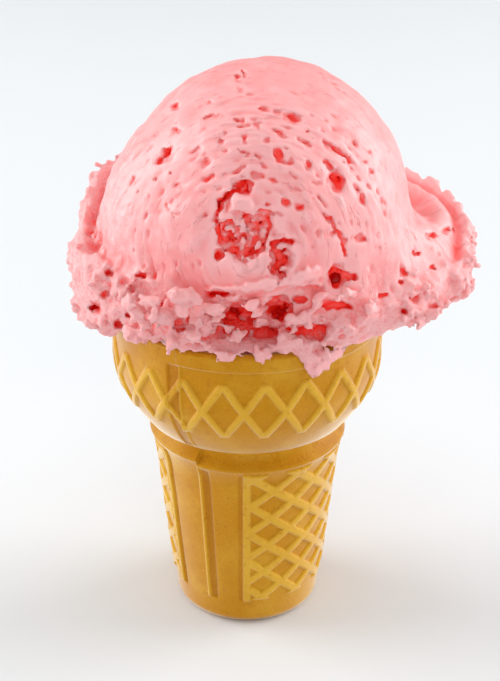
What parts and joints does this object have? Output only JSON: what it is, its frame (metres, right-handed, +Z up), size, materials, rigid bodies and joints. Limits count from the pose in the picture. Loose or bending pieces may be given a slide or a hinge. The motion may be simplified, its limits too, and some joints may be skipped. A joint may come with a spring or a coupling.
{
  "type": "ice cream cone",
  "caption": "Flat-bottomed wafer cone that stands on its own base, filled with one large scoop of strawberry ice cream with a ragged skirt.",
  "frame": {"origin": "centre of the cone's flat base, on the surface that it stands on", "axes": "+Z up along the cone's axis, -Y towards the front of the picture, +X to the right of the picture"},
  "size_m": [0.0892, 0.0786, 0.125],
  "materials": {
    "wafer": "dry matt baked wafer, golden, paler on its ribs",
    "strawberry_ice_cream": "soft pink frozen cream with small pits, satin where the scoop has smoothed it"
  },
  "bodies": {
    "root": {"wafer_cup": "wafer", "strawberry_scoop": "strawberry_ice_cream"}
  },
  "joints": []
}
